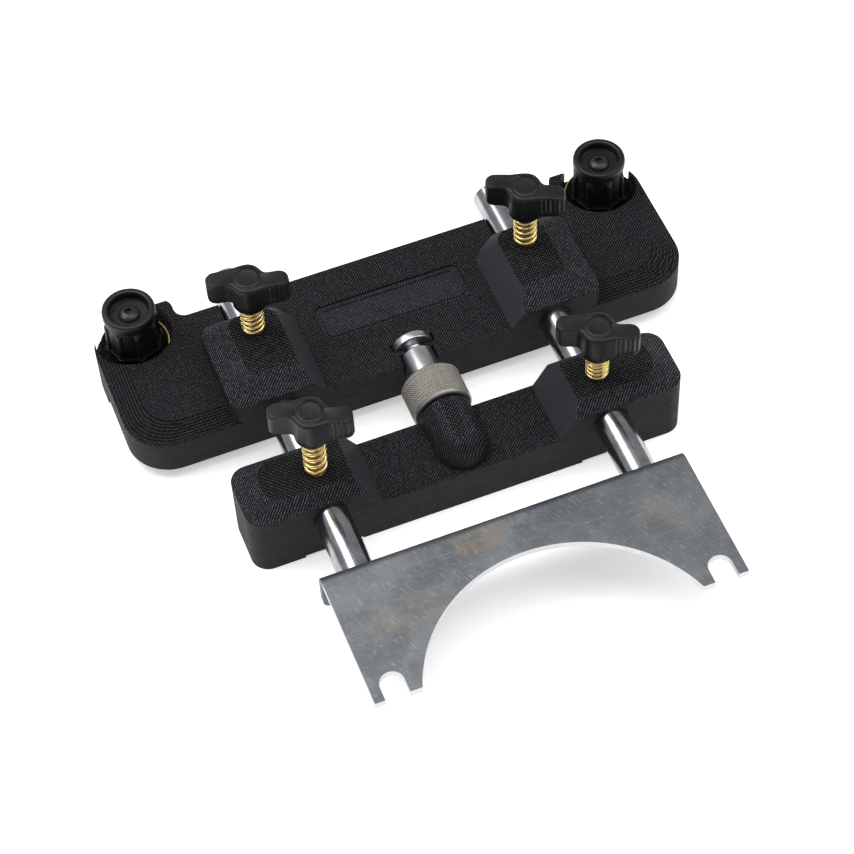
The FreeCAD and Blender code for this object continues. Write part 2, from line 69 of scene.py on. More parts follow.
class Wire:
    def __init__(self, paint, socket):
        self.paint = paint
        self.socket = socket

    def math(self, operation, *others):
        values = {0: self}
        for i, other in enumerate(others):
            values[i + 1] = other
        return self.paint.node("ShaderNodeMath", {"operation": operation}, values)

    def __add__(self, other):
        return self.math("ADD", other)

    def __sub__(self, other):
        return self.math("SUBTRACT", other)

    def __mul__(self, other):
        return self.math("MULTIPLY", other)

    def __truediv__(self, other):
        return self.math("DIVIDE", other)

    def __rsub__(self, other):
        return self.paint.node("ShaderNodeMath", {"operation": "SUBTRACT"}, {0: other, 1: self})

    __radd__ = __add__
    __rmul__ = __mul__

    def __abs__(self):
        return self.math("ABSOLUTE")

    def frac(self):
        return self.math("FRACT")

    def atMost(self, other):
        return self.math("MINIMUM", other)

    def atLeast(self, other):
        return self.math("MAXIMUM", other)

    def fade(self, low, high, start=0.0, end=1.0):  # smooth step from low to high
        return self.paint.node(
            "ShaderNodeMapRange", {"interpolation_type": "SMOOTHSTEP"},
            {"Value": self, "From Min": low, "From Max": high, "To Min": start, "To Max": end})

    def ridge(self):  # 0 at whole numbers, 1 half way between them
        return 1 - abs(self.frac() * 2 - 1)


class Paint:
    def __init__(self, name, **constants):
        self.material = bpy.data.materials.new(name)
        self.material.use_nodes = True
        self.tree = self.material.node_tree
        self.shader = self.tree.nodes["Principled BSDF"]
        for socket, value in constants.items():
            self.shader.inputs[socket.replace("_", " ")].default_value = value
        place = self.node("ShaderNodeTexCoord", {}, {}, "Object")
        scaled = {0: place, "Scale": 1 / mm}
        self.place = self.node("ShaderNodeVectorMath", {"operation": "SCALE"}, scaled, "Vector")
        self.facing = self.node("ShaderNodeTexCoord", {}, {}, "Normal")
        self.x, self.y, self.z = self.split(self.place)

    def node(self, kind, settings, values, output=0):
        made = self.tree.nodes.new(kind)
        for key, value in settings.items():
            if key == "stops":
                for i, (position, colour) in enumerate(value):
                    stops = made.color_ramp.elements
                    stop = stops[i] if i < len(stops) else stops.new(position)
                    stop.position = position
                    stop.color = (*colour, 1)
            else:
                setattr(made, key, value)
        for key, value in values.items():
            if isinstance(value, Wire):
                self.tree.links.new(value.socket, made.inputs[key])
            else:
                made.inputs[key].default_value = value
        return Wire(self, made.outputs[output])

    def split(self, vector):
        made = self.node("ShaderNodeSeparateXYZ", {}, {"Vector": vector})
        return [Wire(self, socket) for socket in made.socket.node.outputs]

    def vector(self, x, y, z):
        return self.node("ShaderNodeCombineXYZ", {}, {"X": x, "Y": y, "Z": z})

    def noise(self, scale, detail=2.0, roughness=0.5, where=None):
        values = {"Vector": where or self.place, "Scale": scale, "Detail": detail, "Roughness": roughness}
        return self.node("ShaderNodeTexNoise", {}, values)

    def mix(self, share, first, second):
        def colour(value):
            return value if isinstance(value, Wire) else (*value, 1)
        made = self.tree.nodes.new("ShaderNodeMix")
        made.data_type = "RGBA"
        sockets = (made.inputs[0], made.inputs[6], made.inputs[7])
        for socket, value in zip(sockets, (share, colour(first), colour(second))):
            if isinstance(value, Wire):
                self.tree.links.new(value.socket, socket)
            else:
                socket.default_value = value
        return Wire(self, made.outputs[2])

    def bump(self, height, depth, strength=1.0, under=None):  # depth in millimetres for a height of 1
        values = {"Height": height, "Distance": depth * mm, "Strength": strength}
        if under:
            values["Normal"] = under
        return self.node("ShaderNodeBump", {}, values, "Normal")

    def finish(self, **wires):
        for socket, wire in wires.items():
            self.tree.links.new(wire.socket, self.shader.inputs[socket.replace("_", " ")])
        return self.material


printed = {
    "layer": 0.25, "rasterPitch": 0.78, "dotPitch": 1.06,
    # the first colour here is painted shade for grooves, layer lines and terrace lines; the last is a painted
    # highlight for strand crests
    "paintedGrooveShade": (0.0004, 0.0004, 0.0005), "body": (0.015, 0.0153, 0.0185), "light": (0.2, 0.205, 0.235),
    # the ramp colour is a painted sheen for slopes that face the middle
    "wall": (0.0135, 0.0142, 0.0165), "ramp": (0.034, 0.0352, 0.0395),
    "border": {"corner": 15.0, "width": 8.0, "low": 18.0, "drop": 2.0, "lineInset": 0.84},
}


def printedPlastic(name, bossTop, terraced):
    paint = Paint(name, Specular_IOR_Level=0.12, IOR=1.5)
    x, y, z = paint.x, paint.y, paint.z
    facingX, _, upward = paint.split(paint.facing)
    flat = upward.fade(0.965, 0.995)
    wall = 1 - abs(upward).fade(0.1, 0.4)
    slope = (1 - flat) * (1 - wall)
    wobble = (paint.noise(0.55, 2) - 0.5) * 0.2
    nodules = paint.noise(2.0, 3, 0.65)
    coarse = paint.noise(0.12, 3, 0.6)
    along = (x + y) * 0.7071
    across = (x - y) * 0.7071
    onBoss = z.fade(bossTop - 4.6, bossTop - 4.2)
    # strands laid at 45 degrees on the flats, broken into dots by cross strands on top of the bosses
    strand = (across / printed["rasterPitch"] + wobble).ridge().fade(0.3, 0.8)
    fine = (across / printed["rasterPitch"] - wobble).ridge().fade(0.25, 0.8)
    weave = (along / printed["dotPitch"] + wobble).ridge().fade(0.2, 0.75)
    broken = nodules.fade(0.34, 0.62)
    raster = strand * (0.5 + broken * 0.5)
    woven = fine * (0.35 + weave * 0.65) * (0.6 + broken * 0.4)
    lane = (along / 17.0 + 0.31 + coarse * 0.4).ridge()
    scratch = lane.fade(0.982, 1.0) * paint.noise(0.08, 0).fade(0.5, 0.58)
    flatHeight = raster * (1 - onBoss) + woven * onBoss
    # each slope shows its level layers, and the ramps inside the bosses are smoother
    contour = (z / printed["layer"] + wobble * 0.3).ridge().fade(0.05, 0.8)
    perLayer = paint.noise(1.0, 1, 0.5, paint.vector(x * 0.12, y * 0.12, z * 7.0))
    inward = slope * (0 - facingX * x.math("SIGN")).fade(0.15, 0.35)
    slopeHeight = fine * (0.4 + broken * 0.6) * 0.7 + contour * 0.3
    slopeHeight = slopeHeight * (1 - inward) + (0.5 + (perLayer - 0.5) * 0.3) * inward
    wallHeight = contour * 0.3 + perLayer * 0.7
    height = flatHeight * flat + slopeHeight * slope + wallHeight * wall
    if terraced:  # a dotted groove along the edge of every terrace, lowered in the height so that it also gets painted shade
        edge = printed["border"]
        half, front = shoeHigh.x, shoeLow.y
        share = (z - edge["low"]) / edge["drop"]
        corner = edge["corner"] - share * (edge["width"] / 2)
        pastX = abs(x) - (half - share * edge["width"] - corner)
        pastY = (front + share * edge["width"] + corner) - y
        outX, outY = pastX.atLeast(0), pastY.atLeast(0)
        reach = (outX * outX + outY * outY).math("SQRT") + pastX.atLeast(pastY).atMost(0)
        inset = corner - reach
        top = edge["low"] + edge["drop"]
        onTread = flat * z.fade(edge["low"] + 0.1, edge["low"] + 0.2) * (1 - z.fade(top - 0.15, top - 0.1))
        line = (1 - abs(inset - edge["lineInset"]).fade(0.1, 0.4)) * onTread
        beads = ((x * 0.93 + y * 0.37) / printed["dotPitch"] + wobble).ridge().fade(0.15, 0.6)
        height = (height + onTread * 0.25) * (1 - line * (0.45 + beads * 0.55))
    height = height * (1 - scratch * flat * 0.8)
    normal = paint.bump(height, 0.45, 1.0)
    normal = paint.bump(nodules, 0.12, 0.8, normal)
    # painted shade: the low parts of the height (grooves between strands, layer lines, terrace lines) take
    # the near-black colour
    paintedGrooveShade = height.fade(0.05, 0.55)
    colour = paint.mix(paintedGrooveShade * (0.72 + coarse * 0.5), printed["paintedGrooveShade"], printed["body"])
    # painted highlight: the crests of the strands on flats and slopes take the pale colour
    paintedHighlight = (flat + slope) * height.fade(0.45, 0.95) * (0.35 + broken * 0.65)
    colour = paint.mix(paintedHighlight * (0.5 + onBoss * 0.35), colour, printed["light"])
    colour = paint.mix(wall * 0.75, colour, printed["wall"])
    # painted sheen: slopes facing the middle take a lighter grey
    colour = paint.mix(inward * 0.85, colour, printed["ramp"])
    rough = 0.6 - height * 0.16 + coarse * 0.08 - wall * 0.06
    return paint.finish(Base_Color=colour, Roughness=rough, Normal=normal)


def mouldedPlastic(name, body, light, rough, grain=0.012):
    paint = Paint(name, Specular_IOR_Level=0.34, IOR=1.5)
    clouds = paint.noise(0.35, 3, 0.6)
    texture = paint.noise(5.5, 3, 0.6)
    dust = paint.noise(2.2, 4, 0.75).fade(0.66, 0.78)
    colour = paint.mix(clouds.fade(0.3, 0.7), body, light)
    colour = paint.mix(dust * 0.25, colour, [part * 2.4 for part in light])
    roughness = rough + (clouds - 0.5) * 0.16 + (texture - 0.5) * 0.12
    return paint.finish(Base_Color=colour, Roughness=roughness, Normal=paint.bump(texture, grain, 0.7))


def turnedMetal(name, tone, shade, rough, axisLines=9.0, lineDepth=0.004, axis="y"):
    # bright metal with fine rings round its axis
    paint = Paint(name, Metallic=1.0)
    along = {"x": paint.x, "y": paint.y, "z": paint.z}[axis]
    rings = paint.noise(1.0, 4, 0.7, paint.vector(along * axisLines, 0.0, 0.0))
    clouds = paint.noise(0.22, 3, 0.6)
    specks = paint.noise(3.0, 4, 0.75).fade(0.64, 0.76)
    colour = paint.mix(clouds.fade(0.35, 0.7), tone, shade)
    colour = paint.mix(specks * 0.3, colour, [part * 0.55 for part in shade])
    roughness = rough + (rings - 0.5) * 0.1 + clouds * 0.05 + specks * 0.12
    return paint.finish(Base_Color=colour, Roughness=roughness, Normal=paint.bump(rings, lineDepth, 0.6))


wheel = {
    "radius": 10.3, "chamfer": 0.8, "knurlDepth": 0.32, "pitch": 0.95, "starts": 68, "steps": 56,
    "recess": 8.2, "recessDepth": 1.4, "bore": 5.8,
}


def knurledMetal(name):
    paint = Paint(name, Metallic=1.0)
    grime = paint.noise(1.9, 5, 0.75)
    patches = paint.noise(0.3, 3, 0.6)
    low, high = nodeBox("adjuster_wheel")
    up = paint.z - (low.z + high.z) / 2
    radius = (paint.x * paint.x + up * up).math("SQRT")
    raised = radius.fade(wheel["radius"] - wheel["knurlDepth"], wheel["radius"])
    chamferFoot = wheel["radius"] - wheel["chamfer"]
    cut = radius.fade(chamferFoot - 0.15, chamferFoot + 0.1)
    colour = paint.mix(grime.fade(0.35, 0.65), (0.36, 0.335, 0.30), (0.13, 0.118, 0.103))
    colour = paint.mix(patches.fade(0.4, 0.7) * 0.5, colour, (0.3, 0.29, 0.275))
    colour = paint.mix(raised * grime.fade(0.4, 0.6) * 0.6, colour, (0.5, 0.475, 0.44))
    rim = (1 - (paint.y - low.y).fade(0.55, 0.75)) * radius.fade(wheel["recess"] + 0.1, wheel["recess"] + 0.4)
    colour = paint.mix(rim * 0.85, colour, (0.66, 0.65, 0.62))
    rough = 0.3 + grime * 0.2 + cut * 0.08
    return paint.finish(Base_Color=colour, Roughness=rough, Normal=paint.bump(grime, 0.03, 0.8))


def sheetSteel(name):
    # bare sheet: rolled grain, crossing scratches, dull patches and heat tint
    paint = Paint(name, Metallic=1.0)
    x, y, z = paint.x, paint.y, paint.z
    rolled = paint.noise(1.0, 5, 0.7, paint.vector(x * 0.1, y * 2.2, z * 2.2))
    cross = paint.noise(1.0, 5, 0.7, paint.vector(x * 2.2 + y * 0.9, y * 0.16 - x * 0.06, z))
    fine = paint.noise(1.0, 3, 0.6, paint.vector((x + y) * 3.1, (x - y) * 0.2, z))
    clouds = paint.noise(0.055, 4, 0.62)
    stains = paint.noise(0.085, 4, 0.65, paint.vector(x + 31.0, y * 0.8 - 12.0, z))
    mottle = paint.noise(0.7, 4, 0.7)

    def spot(middleX, middleY, wide, deep):
        reach = ((x - middleX) / wide).math("POWER", 2.0) + ((y - middleY) / deep).math("POWER", 2.0)
        return 1 - (reach + (mottle - 0.5) * 0.5 + (clouds - 0.5) * 1.2).fade(0.25, 1.0)

    brown = spot(-10, -122, 13, 7).atLeast(spot(-42, -139, 16, 8) * 0.55)
    brown = brown.atLeast(spot(44, -135, 10, 8) * 0.45)
    blue = spot(8, -121, 17, 6).atLeast(spot(-30, -128, 15, 6) * 0.6) * (1 - brown)
    colour = paint.mix(clouds.fade(0.36, 0.64), (0.13, 0.14, 0.152), (0.185, 0.194, 0.203))
    colour = paint.mix(stains.fade(0.5, 0.72) * 0.55, colour, (0.1, 0.109, 0.121))
    colour = paint.mix(rolled.fade(0.52, 0.75) * 0.4, colour, (0.34, 0.345, 0.345))
    patchy = paint.noise(0.32, 4, 0.7).fade(0.4, 0.62)
    colour = paint.mix(brown * patchy * 0.75, colour, (0.235, 0.185, 0.13))
    colour = paint.mix(blue * patchy * 0.6, colour, (0.09, 0.104, 0.13))
    scratch = (cross.fade(0.58, 0.68) + fine.fade(0.61, 0.7)).atMost(1)
    colour = paint.mix(scratch * 0.55, colour, (0.46, 0.47, 0.475))
    upright = 1 - abs(paint.split(paint.facing)[2])
    cutEdge = upright.fade(0.6, 0.9) * z.fade(25.3, 25.6) * (1 - y.fade(-119.5, -118.9))
    colour = paint.mix(cutEdge * (0.6 + mottle * 0.4), colour, (0.72, 0.73, 0.74))
    rough = 0.4 + (rolled - 0.5) * 0.22 + stains * 0.14 - scratch * 0.08 + mottle * 0.06
    normal = paint.bump(rolled, 0.012, 0.7)
    normal = paint.bump(scratch, 0.02, 0.5, normal)
    return paint.finish(Base_Color=colour, Roughness=rough, Normal=normal)


def washerMetal(name):
    # brass ring with painted light: painted shade makes its face near-black, and a painted highlight runs
    # along the edge that faces the middle of the shoe
    paint = Paint(name, Metallic=1.0)
    low, high = nodeBox("play_washer_right")
    middle, outside = (low + high) / 2, (high.x - low.x) / 2
    fromKnob = abs(paint.x) - middle.x
    radius = (fromKnob * fromKnob + (paint.y - middle.y) * (paint.y - middle.y)).math("SQRT")
    clouds = paint.noise(0.6, 4, 0.65)
    ringNoise = paint.noise(2.6, 4, 0.7)
    edge = (radius + (ringNoise - 0.5) * 0.3).fade(outside - 0.5, outside - 0.2) * (0 - fromKnob).fade(2.0, 6.0)
    # painted shade: the face of the ring is near-black
    colour = paint.mix(clouds.fade(0.35, 0.7), (0.004, 0.0035, 0.003), (0.014, 0.011, 0.008))
    # painted highlight: pale brass along the edge that faces the middle
    colour = paint.mix(edge, colour, (0.72, 0.52, 0.22))
    rough = 0.5 - edge * 0.22 + (ringNoise - 0.5) * 0.14
    return paint.finish(Base_Color=colour, Roughness=rough, Normal=paint.bump(ringNoise, 0.01, 0.6))


def brassMetal(name, tone, shade, rough):
    paint = Paint(name, Metallic=1.0)
    clouds = paint.noise(0.5, 3, 0.6)
    drawn = paint.noise(4.0, 4, 0.7)
    colour = paint.mix(clouds.fade(0.35, 0.7), tone, shade)
    colour = paint.mix(drawn.fade(0.6, 0.75) * 0.35, colour, [part * 0.5 for part in shade])
    roughness = rough + clouds * 0.08 + (drawn - 0.5) * 0.1
    return paint.finish(Base_Color=colour, Roughness=roughness, Normal=paint.bump(drawn, 0.003, 0.4))


def makePiece(name, verts, faces, material, body, replaced=None, smoothAngle=32):
    mesh = bpy.data.meshes.new(name)
    mesh.from_pydata([Vector(v) * mm for v in verts], [], faces)
    mesh.polygons.foreach_set("use_smooth", [True] * len(faces))
    mesh.set_sharp_from_angle(angle=math.radians(smoothAngle))
    mesh.materials.append(material)
    mesh.update()
    piece = bpy.data.objects.new(name, mesh)
    bpy.context.scene.collection.objects.link(piece)
    if body:
        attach(piece, body)
    if replaced:
        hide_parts(replaced)
    return piece


def skin(rings, closed=True):
    # quads between rings of equal length, with a face over each end if closed
    count = len(rings[0])
    verts = [point for ring in rings for point in ring]
    faces = []
    for i in range(len(rings) - 1):
        for j in range(count):
            k = (j + 1) % count
            faces.append((i * count + j, i * count + k, (i + 1) * count + k, (i + 1) * count + j))
    if closed:
        faces.append(tuple(range(count - 1, -1, -1)))
        faces.append(tuple((len(rings) - 1) * count + j for j in range(count)))
    return verts, faces


def turned(profile, count, centre, axis="z", shape=None):
    # rings for a list of (radius, height); shape(angle, radius, height) may change a radius
    rings = []
    for radius, height in profile:
        ring = []
        for j in range(count):
            angle = 2 * math.pi * j / count
            r = shape(angle, radius, height) if shape else radius
            a, b = r * math.cos(angle), r * math.sin(angle)
            onZ, onY = (centre[0] + a, centre[1] + b, height), (centre[0] - a, height, centre[2] + b)
            ring.append(onZ if axis == "z" else onY)
        rings.append(ring)
    return rings


def rounded(points, radius, steps=4):
    # a profile with its corners rounded
    out = []
    for i, point in enumerate(points):
        here = Vector(point)
        if i in (0, len(points) - 1):
            out.append(tuple(here))
            continue
        before, after = Vector(points[i - 1]) - here, Vector(points[i + 1]) - here
        cut = min(radius, before.length * 0.45, after.length * 0.45)
        a, b = here + before.normalized() * cut, here + after.normalized() * cut
        for step in range(steps + 1):
            t = step / steps
            out.append(tuple((1 - t) ** 2 * a + 2 * t * (1 - t) * here + t ** 2 * b))
    return out


def knurledWheel(material):
    low, high = nodeBox("adjuster_wheel")
    front, rear, height = low.y, high.y, (low.z + high.z) / 2
    radius, chamfer, starts, steps = (wheel[key] for key in ("radius", "chamfer", "starts", "steps"))
    bandLow, bandHigh = front + chamfer + 0.15, rear - chamfer - 0.15

    def knurl(angle, r, y):
        if not bandLow < y < bandHigh or r < radius - 0.2:
            return r
        across = angle * starts / (2 * math.pi)
        along = (y - front) / wheel["pitch"]
        grooves = [abs((value % 1.0) - 0.5) * 2 for value in (across + along, across - along)]
        depth = max(1 - g / 0.55 if g < 0.55 else 0 for g in grooves)
        return r - wheel["knurlDepth"] * depth

    bore = wheel["bore"]
    recess = wheel["recess"]
    floor = front + wheel["recessDepth"]
    profile = [
        (bore, rear - 0.1), (bore + 0.4, rear), (radius - chamfer - 0.2, rear),
        (radius - chamfer * 0.5, rear - 0.3), (radius - 0.06, rear - chamfer)]
    profile += [(radius, bandHigh + (bandLow - bandHigh) * i / steps) for i in range(steps + 1)]
    profile += [
        (radius - 0.06, front + chamfer), (radius - chamfer * 0.5, front + 0.3),
        (radius - chamfer - 0.2, front), (recess + 0.2, front), (recess, front + 0.2), (recess, floor),
        (bore, floor)]
    rings = turned(profile, starts * 6, (0, 0, height), "y", knurl)
    verts, faces = skin(rings + [rings[0]], False)
    makePiece("knurled_wheel", verts, faces, material, "adjuster", "adjuster_wheel", 40)


spindle = {
    "disc": 7.3, "discThickness": 2.8, "neck": 3.2, "neckLength": 2.6, "barrel": 5.8,
    "thread": 3.0, "threadRoot": 2.55, "threadPitch": 1.0,
}


def turnedSpindle(material):
    low, high = nodeBox("adjuster_spindle")
    front, rear, height = low.y, high.y, (low.z + high.z) / 2
    disc, neck, barrel = (spindle[key] for key in ("disc", "neck", "barrel"))
    crest, root = spindle["thread"], spindle["threadRoot"]
    barrelFront = nodeBox("adjuster_wheel")[0].y + wheel["recessDepth"]
    discFront = rear - spindle["discThickness"]
    barrelRear = discFront - spindle["neckLength"]
    corners = [
        (0.01, rear), (disc, rear), (disc, discFront), (neck, discFront), (neck, barrelRear),
        (barrel, barrelRear), (barrel, barrelFront), (crest, barrelFront)]
    profile = rounded(corners, 0.35, 3)
    y, pitch = barrelFront, spindle["threadPitch"]
    while y > front + 0.8 * pitch:
        profile += [(crest, y - 0.25 * pitch), (root, y - 0.5 * pitch), (crest, y - 0.75 * pitch)]
        y -= pitch
    profile += [(2.6, front + 0.3), (2.2, front), (0.01, front)]
    verts, faces = skin(turned(profile, 96, (0, 0, height), "y"))
    makePiece("turned_spindle", verts, faces, material, "adjuster", "adjuster_spindle", 34)


wing = {
    "height": 14.4, "reach": 13.35, "half": 3.1, "sweep": 2.35, "hub": 5.75, "stem": 4.35, "corner": 2.3,
    "cap": 4.2, "capHeight": 0.15, "round": 1.15, "droop": 0.5, "blend": 2.6,
    "ribs": 5, "ribStart": 5.2, "ribPitch": 1.5, "ribDepth": 0.5,
    "yaw": {"shoe_left": -8.0, "shoe_right": -24.0, "block_left": -14.0, "block_right": -20.0},
}


def barDistance(px, py, toward, reach, half):
    # to a rounded bar that runs from the hub out to one side, off the knob's middle line
    corner = wing["corner"]
    outX = abs(px - toward * (reach - half) / 2) - ((reach + half) / 2 - corner)
    outY = abs(py + toward * wing["sweep"]) - (half - corner)
    return math.hypot(max(outX, 0.0), max(outY, 0.0)) + min(max(outX, outY), 0.0) - corner


def wingOutline(count):
    # seen from above: a round hub with two wings set off in opposite directions
    reach, half, hub = wing["reach"], wing["half"], wing["hub"]
    ring = []
    for j in range(count):
        angle = 2 * math.pi * j / count
        c, s = math.cos(angle), math.sin(angle)
        low, high = 0.0, reach + 2  # the outline's radius at this angle, found by halving
        for _ in range(26):
            r = (low + high) / 2
            px, py = r * c, r * s
            out = min(barDistance(px, py, toward, reach, half) for toward in (-1, 1))
            waist = math.hypot(px, py) - hub
            blend = wing["blend"]
            h = max(blend - abs(out - waist), 0.0) / blend
            distance = min(out, waist) - h * h * blend * 0.25
            if distance < 0:
                low = r
            else:
                high = r
        ring.append(((low + high) / 2 * c, (low + high) / 2 * s))
    return ring


def wingKnob(place, material):
    node = "wing_knob_" + place
    stud = nodeMiddle("clamp_stud_" + place)
    foot = nodeBox(node)[0].z
    top = foot + wing["height"] - wing["capHeight"]
    count = 288
    outer = wingOutline(count)
    angles = [2 * math.pi * j / count for j in range(count)]

    def ribs(px, py):  # finger ribs on the leading side of each wing
        side = 1 if px > 0 else -1
        along, length = abs(px) - wing["ribStart"], wing["ribs"] * wing["ribPitch"]
        if along < 0 or along > length or py * side > -2.5:
            return 0.0
        fade = max(min(1.0, along / 0.8, (length - along) / 0.6), 0.0)
        return wing["ribDepth"] * (0.5 - 0.5 * math.cos(2 * math.pi * along / wing["ribPitch"])) * fade

    def ring(z, share, inset, tilt=0.0, ribbed=False, core=wing["hub"]):
        # share 0 is the round core, 1 the full wing outline
        points = []
        for (ox, oy), angle in zip(outer, angles):
            length = math.hypot(ox, oy)
            r = core + (length - core) * share
            scale = max(r - inset, 0.05) / length
            px, py = ox * scale, oy * scale
            if ribbed:
                cut = ribs(px, py)
                py += cut if py < 0 else -cut
            drop = tilt * max(abs(px) - 4.5, 0.0) ** 2 / (wing["reach"] - 4.5) ** 2
            points.append((px, py, z - drop))
        return points

    d = wing["droop"]
    body = top - foot
    stem = wing["stem"]
    hub = wing["hub"]
    stemRadii = [
        (0.5, 2.6), (0.0, 2.75), (0.0, stem - 0.35), (0.35, stem), (1.0, stem + 0.45), (1.9, hub - 0.25),
        (2.4, hub), (4.5, hub)]
    rings = [ring(foot + z, 0, 0, core=radius) for z, radius in stemRadii]
    for share, z in ((0.12, 4.85), (0.45, 5.0), (0.86, 5.05), (0.95, 5.2), (0.985, 5.5), (1.0, 6.0)):
        rings.append(ring(foot + z, share, 0, -0.2 * share))
    side = [(6.8, 0.0), (7.6, 0.0), (8.6, 0.0), (9.6, 0.0), (10.6, 0.0), (11.4, 0.0), (12.2, 0.03)]
    for z, inset in side:
        rings.append(ring(foot + z, 1, inset, (d + 0.2) * (z - 6.0) / (body - 6.0) - 0.2, True))
    rise = wing["round"]
    for step in range(1, 7):
        turn = math.pi / 2 * step / 6
        rings.append(ring(top - rise + rise * math.sin(turn), 1, rise * (1 - math.cos(turn)), d, step < 4))
    rings.append(ring(top, 1, rise + 0.6, d))

    def circle(radius, z):
        return [(radius * math.cos(a), radius * math.sin(a), z) for a in angles]

    cap, capTop = wing["cap"], foot + wing["height"]
    groove = [(cap + 0.65, top - 0.02), (cap + 0.42, top - 0.16), (cap + 0.2, top - 0.2), (cap, top - 0.1)]
    disc = [
        (cap - 0.06, capTop - 0.2), (cap - 0.28, capTop), (cap - 0.9, capTop - 0.02),
        (cap - 1.5, capTop - 0.12), (1.2, capTop - 0.16), (0.3, capTop - 0.16)]
    rings += [circle(radius, z) for radius, z in groove + disc]
    verts, faces = skin(rings)
    turn = Matrix.Rotation(math.radians(wing["yaw"][place]), 3, "Z")
    verts = [turn @ Vector(v) + Vector((stud.x, stud.y, 0)) for v in verts]
    makePiece("knob_" + place, verts, faces, material, "knob_" + place, node, 50)


coil = {"wire": 1.55, "outer": 4.0, "turns": 5.0, "flatTurns": 0.8, "steps": 36, "section": 14}


def clampSpring(place, material):
    node = "clamp_spring_" + place
    low, high = nodeBox(node)
    stud = nodeMiddle("clamp_stud_" + place)
    wire = coil["wire"] / 2
    bottom, top = low.z + wire, high.z - wire
    radius = coil["outer"] - wire
    turns, flatTurns, section = coil["turns"], coil["flatTurns"], coil["section"]
    total = int(turns * coil["steps"])

    def share(value):
        return min(max(value, 0.0), 1.0)

    path = []
    for i in range(total + 1):
        turn = i / coil["steps"]
        first = share(turn / flatTurns)
        inner = share((turn - flatTurns) / (turns - 2 * flatTurns))
        last = share((turn - turns + flatTurns) / flatTurns)
        height = bottom + (top - bottom) * (0.1 * first + 0.8 * inner + 0.1 * last)
        angle = 2 * math.pi * turn + 0.7
        path.append(Vector((radius * math.cos(angle), radius * math.sin(angle), height)))
    rings = []
    onStud = Vector((stud.x, stud.y, 0))
    around = [2 * math.pi * k / section for k in range(section)]
    for i, point in enumerate(path):
        ahead = path[min(i + 1, total)] - path[max(i - 1, 0)]
        outward = Vector((point.x, point.y, 0)).normalized()
        up = ahead.normalized().cross(outward).normalized()
        rings.append([point + onStud + (outward * math.cos(a) + up * math.sin(a)) * wire for a in around])
    verts, faces = skin(rings)
    host = place.split("_")[0]
    piece = makePiece("spring_" + place, verts, faces, material, None, node, 60)
    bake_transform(piece)


star = {
    "rim": 9.0, "base": 9.5, "waist": 8.35, "ribs": 8, "ribHalf": 1.15, "ribRise": 0.95, "rimHeight": 3.6,
    "skirt": 1.7, "recess": 6.7, "recessDepth": 3.4,
}


def starKnob(side, material):
    node = "play_knob_" + side
    low, high = nodeBox(node)
    screw = nodeMiddle("play_screw_" + side)
    foot, top = low.z, high.z
    skirtTop = foot + star["skirt"]
    count = 320
    ribTop = top - star["rimHeight"] - 1.4

    def fluted(angle, r, z):
        if r < star["waist"] - 0.9 or z > top - star["rimHeight"] - 0.2:
            return r
        step = 2 * math.pi / star["ribs"]
        off = abs(((angle + step / 2) % step) - step / 2)
        if z < skirtTop - 0.05:  # eight flats round the foot
            flat = angle % step - step / 2
            return r * (math.cos(step / 2) / math.cos(flat)) ** 0.75 * 1.02 if r > star["waist"] else r
        width = star["ribHalf"] / star["waist"]
        share = max(0.0, 1 - (off / width) ** 2) ** 0.5 if off < width else 0.0
        end = min(1.0, max(0.0, (ribTop - z) / 1.2)) ** 0.5
        return r + star["ribRise"] * share * end

    waist, rim, base, recess = (star[key] for key in ("waist", "rim", "base", "recess"))
    rimLow, floor = top - star["rimHeight"], top - star["recessDepth"]
    profile = [
        (3.2, foot + 0.5), (3.2, foot), (base - 1.3, foot), (base - 0.25, foot + 0.85),
        (base - 0.02, foot + 1.0), (base - 0.1, skirtTop - 0.3), (base - 0.45, skirtTop)]
    profile += [(waist + 0.25 * (1 - i / 3), skirtTop + 0.25 * i) for i in range(4)]
    bodyLow, bodyHigh = skirtTop + 0.8, rimLow - 0.25
    profile += [(waist - 0.002 * i, bodyLow + (bodyHigh - bodyLow) * i / 26) for i in range(27)]
    profile += [
        (waist + 0.2, rimLow - 0.05), (rim - 0.12, rimLow + 0.25), (rim, rimLow + 0.7), (rim, top - 1.0),
        (rim - 0.15, top - 0.45), (rim - 0.45, top - 0.1), (rim - 0.85, top), (recess + 0.75, top),
        (recess + 0.35, top - 0.12), (recess + 0.1, top - 0.45), (recess, top - 1.0),
        (recess - 0.05, floor + 0.4), (recess - 0.4, floor + 0.05), (recess - 1.2, floor), (4.2, floor),
        (2.0, floor)]
    verts, faces = skin(turned(profile, count, (screw.x, screw.y, 0), "z", fluted))
    makePiece("star_knob_" + side, verts, faces, material, "play_" + side, node, 38)


domedScrew = {"head": 3.75, "height": 2.2, "socket": 1.3, "socketDepth": 1.35, "shank": 2.0}


def domeScrew(side, material):
    node = "play_screw_" + side
    low, high = nodeBox(node)
    middle = (low + high) / 2
    head, height, shank, socket = (domedScrew[key] for key in ("head", "height", "shank", "socket"))
    top, seat = high.z, high.z - height

    def hexagon(angle, r, z):
        if r > socket + 0.2 or z < seat - 0.1:
            return r
        step = math.pi / 3
        return r / math.cos((angle % step) - step / 2)

    profile = [
        (shank * 0.8, low.z), (shank, low.z + 0.4), (shank, seat - 0.01), (head - 0.15, seat),
        (head, seat + 0.15), (head - 0.02, seat + 0.45)]
    for i in range(1, 10):
        turn = math.pi / 2 * (0.12 + 0.88 * i / 9 * 0.74)
        profile.append((head * math.cos(turn), seat + 0.3 + (height - 0.3) * math.sin(turn)))
    rimZ, floor = profile[-1][1], top - domedScrew["socketDepth"]
    profile += [(socket + 0.12, rimZ + 0.02), (socket, rimZ - 0.1), (socket, floor), (0.05, floor - 0.15)]
    verts, faces = skin(turned(profile, 96, (middle.x, middle.y, 0), "z", hexagon))
    makePiece("dome_screw_" + side, verts, faces, material, "play_" + side, node, 32)


